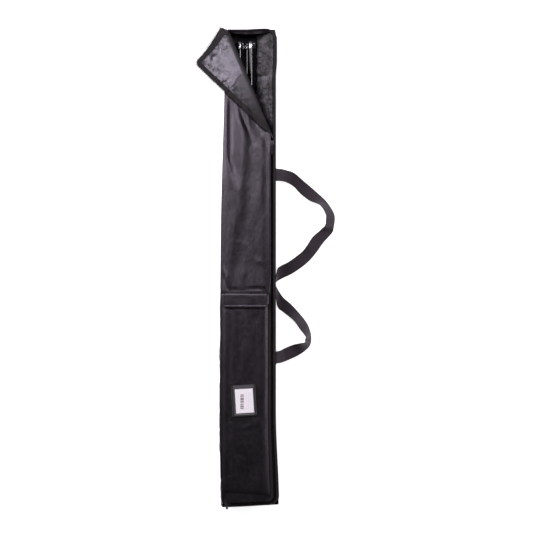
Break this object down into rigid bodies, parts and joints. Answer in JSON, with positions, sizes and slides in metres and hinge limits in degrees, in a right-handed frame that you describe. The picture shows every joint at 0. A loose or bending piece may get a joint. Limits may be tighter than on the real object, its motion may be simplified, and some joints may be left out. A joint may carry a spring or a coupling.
{
  "type": "pole carry case",
  "caption": "Long flat zipped case of black nylon lying on its back, one corner of its front folded open over poles with chrome collars, with a pocket, a window and a webbing handle.",
  "frame": {"origin": "middle of the underside of the back panel, on the surface that the case lies on", "axes": "+Y along the case to its mouth end, +X to the side with the zip and the handle, +Z out of the front panel"},
  "size_m": [0.281, 0.979, 0.0611],
  "materials": {
    "nylon": "black woven nylon with a soft sheen",
    "lining": "grey coated inner face, crinkled, satin",
    "zip_tape": "matt woven tape",
    "coil": "black nylon coil",
    "steel": "satin",
    "black_plastic": "matt moulded",
    "rubber": "matt",
    "chrome": "polished",
    "pole_paint": "gloss black",
    "webbing": "ribbed webbing",
    "card": "matt",
    "film": "clear, glossy"
  },
  "bodies": {
    "root": {"back_panel": "nylon", "left_side_panel_upper": "nylon", "left_side_panel_lower": "nylon", "right_side_panel_upper": "lining", "right_side_panel_lower": "lining", "top_end_panel": "nylon", "bottom_end_panel": "nylon", "front_panel": "nylon", "front_left_piping": "coil", "back_left_piping": "coil", "back_right_piping": "coil", "zip_tape_body": "zip_tape", "zip_coil_body": "coil", "zip_chain_closed": "coil", "zip_tape_front": "zip_tape", "zip_stop_start": "steel", "zip_stop_end": "steel", "pocket_panel": "nylon", "loop_strip": "black_plastic", "id_window_frame": "black_plastic", "id_window_film": "film", "inner_pocket_panel": "nylon", "inner_pocket_hem": "zip_tape", "handle_anchor_upper": "webbing", "handle_anchor_lower": "webbing"},
    "corner": {"folded_corner": "lining", "zip_tape_flap": "zip_tape", "zip_coil_flap": "coil"},
    "pocket_flap": {"pocket_flap": "nylon", "hook_strip": "black_plastic"},
    "handle": {"carry_handle": "webbing"},
    "slider_upper": {"zip_slider_upper": "steel"},
    "pull_upper": {"zip_pull_upper": "black_plastic"},
    "slider_lower": {"zip_slider_lower": "steel"},
    "pull_lower": {"zip_pull_lower": "steel"},
    "card": {"label_card": "card"},
    "pole_1": {"pole_tube_1": "pole_paint", "pole_collar_1": "chrome", "pole_plug_1": "black_plastic", "pole_foot_1": "rubber"},
    "pole_2": {"pole_tube_2": "pole_paint", "pole_collar_2": "chrome", "pole_plug_2": "black_plastic", "pole_foot_2": "rubber"},
    "pole_3": {"pole_tube_3": "pole_paint", "pole_collar_3": "chrome", "pole_plug_3": "black_plastic", "pole_foot_3": "rubber"},
    "pole_4": {"pole_tube_4": "pole_paint", "pole_collar_4": "chrome", "pole_plug_4": "black_plastic", "pole_foot_4": "rubber"},
    "pole_5": {"pole_tube_5": "pole_paint", "pole_collar_5": "chrome", "pole_plug_5": "black_plastic", "pole_foot_5": "rubber"}
  },
  "joints": [
    {"name": "corner_fold", "type": "hinge", "parent": "root", "child": "corner", "pos_m": [-0.045, 0.488, 0.0521], "axis": [-0.3944, 0.9189, 0], "range_deg": [0, 178]},
    {"name": "pocket_flap_lift", "type": "hinge", "parent": "root", "child": "pocket_flap", "pos_m": [-0.006, -0.045, 0.0605], "axis": [-1, 0, 0], "range_deg": [0, 170]},
    {"name": "handle_swing", "type": "hinge", "parent": "root", "child": "handle", "pos_m": [0.0562, 0, 0.0302], "axis": [0, -1, 0], "range_deg": [0, 100]},
    {"name": "slider_upper_run", "type": "slide", "parent": "root", "child": "slider_upper", "axis": [0, 1, 0], "range_m": [-0.7, 0]},
    {"name": "pull_upper_tilt", "type": "hinge", "parent": "slider_upper", "child": "pull_upper", "pos_m": [0.049, 0.256, 0.054], "axis": [-1, 0, 0], "range_deg": [0, 150]},
    {"name": "slider_lower_run", "type": "slide", "parent": "root", "child": "slider_lower", "axis": [1, 0, 0], "range_m": [0, 0.07]},
    {"name": "pull_lower_tilt", "type": "hinge", "parent": "slider_lower", "child": "pull_lower", "pos_m": [-0.043, -0.482, 0.054], "axis": [-1, 0, 0], "range_deg": [0, 150]},
    {"name": "card_slide", "type": "slide", "parent": "root", "child": "card", "axis": [-0.0593, 0.9982, 0], "range_m": [0, 0.055]},
    {"name": "pole_1_slide", "type": "slide", "parent": "root", "child": "pole_1", "axis": [0, 1, 0], "range_m": [-0.028, 0.018]},
    {"name": "pole_2_slide", "type": "slide", "parent": "root", "child": "pole_2", "axis": [0, 1, 0], "range_m": [-0.028, 0.018]},
    {"name": "pole_3_slide", "type": "slide", "parent": "root", "child": "pole_3", "axis": [0, 1, 0], "range_m": [-0.028, 0.018]},
    {"name": "pole_4_slide", "type": "slide", "parent": "root", "child": "pole_4", "axis": [0, 1, 0], "range_m": [-0.028, 0.018]},
    {"name": "pole_5_slide", "type": "slide", "parent": "root", "child": "pole_5", "axis": [0, 1, 0], "range_m": [-0.028, 0.018]}
  ]
}
